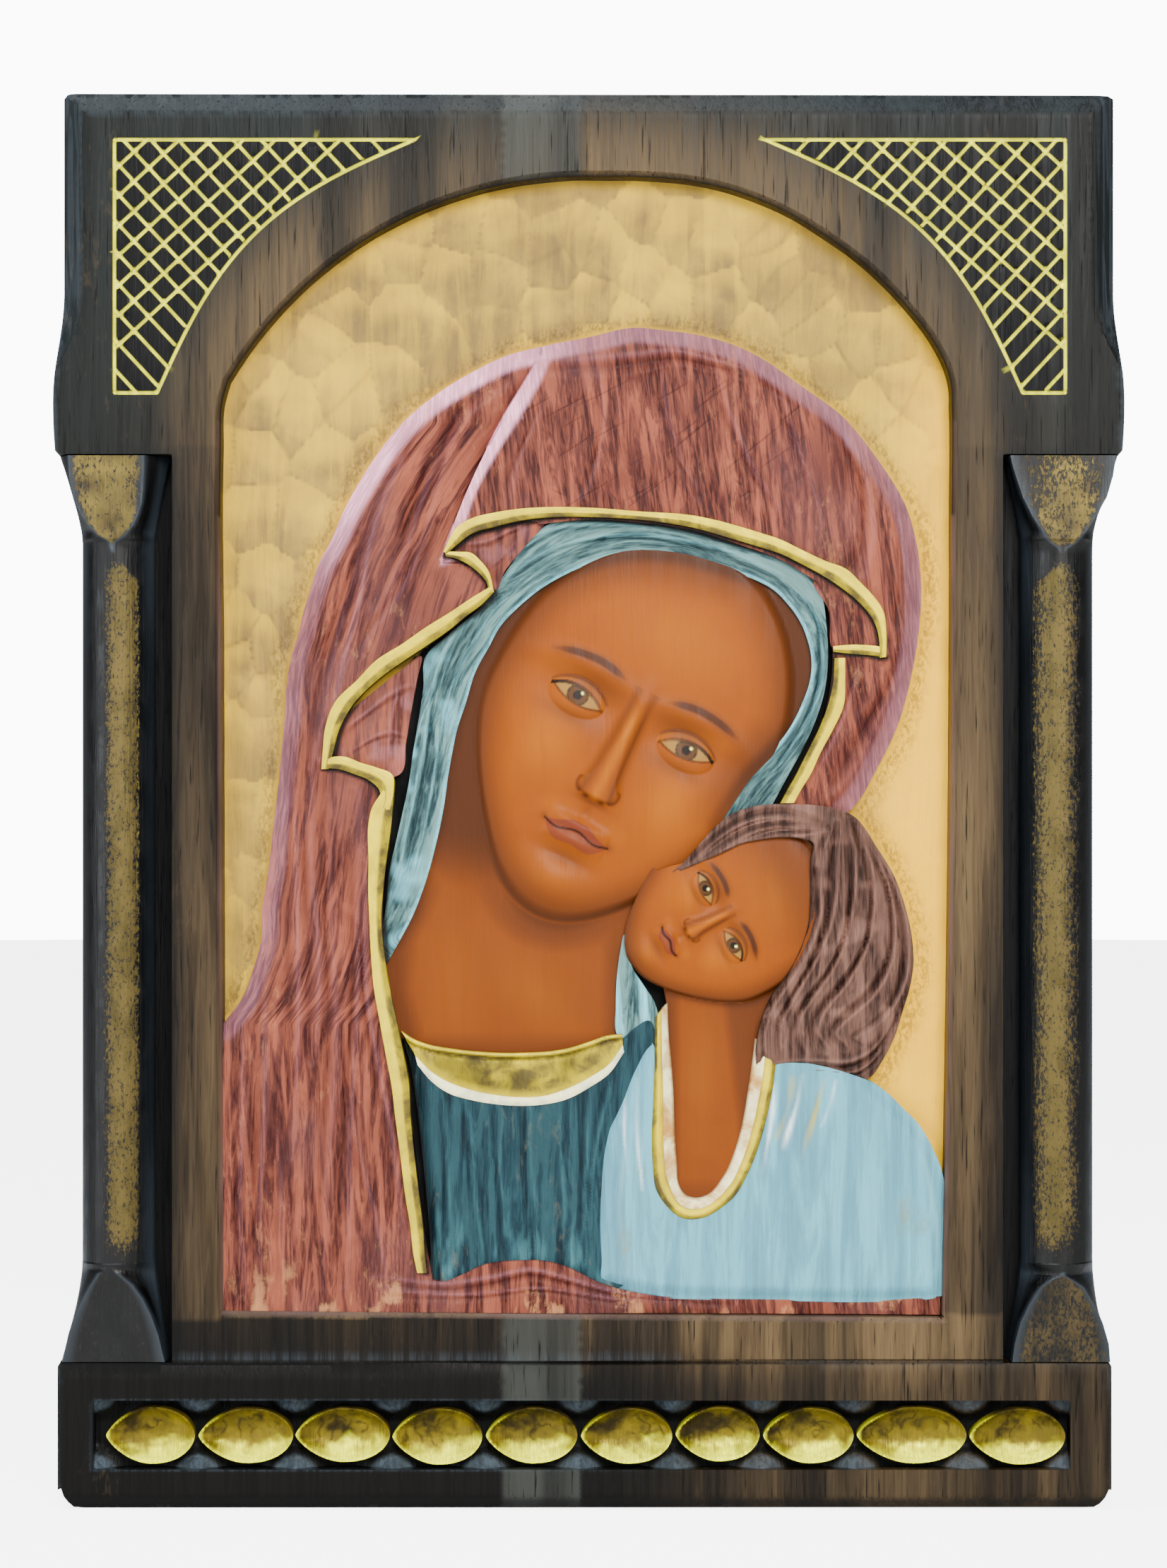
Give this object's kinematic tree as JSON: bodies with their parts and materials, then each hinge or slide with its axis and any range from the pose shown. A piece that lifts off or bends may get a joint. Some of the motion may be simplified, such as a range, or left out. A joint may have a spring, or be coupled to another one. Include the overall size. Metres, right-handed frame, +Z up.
{
  "type": "carved wooden icon",
  "caption": "Wall-hung carved and painted wooden icon: a mother and child in low relief in an arched panel, between half-round columns, over an egg moulding.",
  "frame": {"origin": "middle of the flat back face, where the icon lies against a wall", "axes": "+Y out of the back, towards the wall; +Z up along the board; the carved front faces -Y and +X is to the right of someone facing it"},
  "size_m": [0.453, 0.04, 0.5995],
  "materials": {
    "stained_wood": "dark stained board, worn brown near the panel, satin",
    "ochre_ground": "ochre paint over gouge marks, matt",
    "red_paint": "brushed red paint over carved folds, matt",
    "blue_paint": "brushed teal paint over carved folds, matt",
    "pale_blue_paint": "pale blue paint, matt",
    "gilt_paint": "dull gold paint, worn, satin",
    "skin_paint": "smooth orange-brown paint, satin",
    "hair_paint": "brown paint over carved locks, satin"
  },
  "bodies": {
    "root": {"carved_icon": "stained_wood"}
  },
  "joints": []
}
